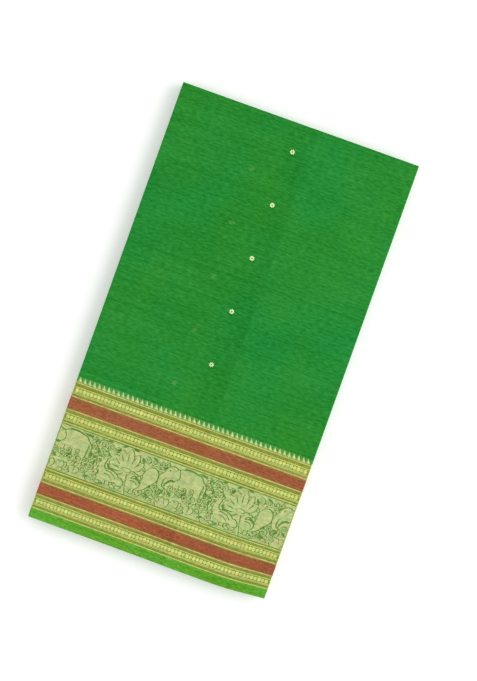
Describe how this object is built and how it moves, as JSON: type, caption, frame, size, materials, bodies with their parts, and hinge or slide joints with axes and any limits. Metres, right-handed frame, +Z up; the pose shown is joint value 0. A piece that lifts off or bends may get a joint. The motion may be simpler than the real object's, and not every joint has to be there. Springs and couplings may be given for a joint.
{
  "type": "folded cotton sari",
  "caption": "Cotton sari with a woven gold-thread border, doubled across its width and laid back and forth into a flat oblong pile.",
  "frame": {"origin": "under the middle of the pile, on the surface it rests on", "axes": "+X across the pile from fold to fold, +Y from the selvedges at the front to the half-width fold at the back, +Z up"},
  "size_m": [0.303, 0.56, 0.0264],
  "materials": {
    "cotton": "plain-woven leaf green cotton, matt, with rust red bands in the border",
    "zari": "pale gold metal-wrapped thread woven into the border, soft sheen"
  },
  "bodies": {
    "root": {"folded_sari": "cotton"}
  },
  "joints": []
}
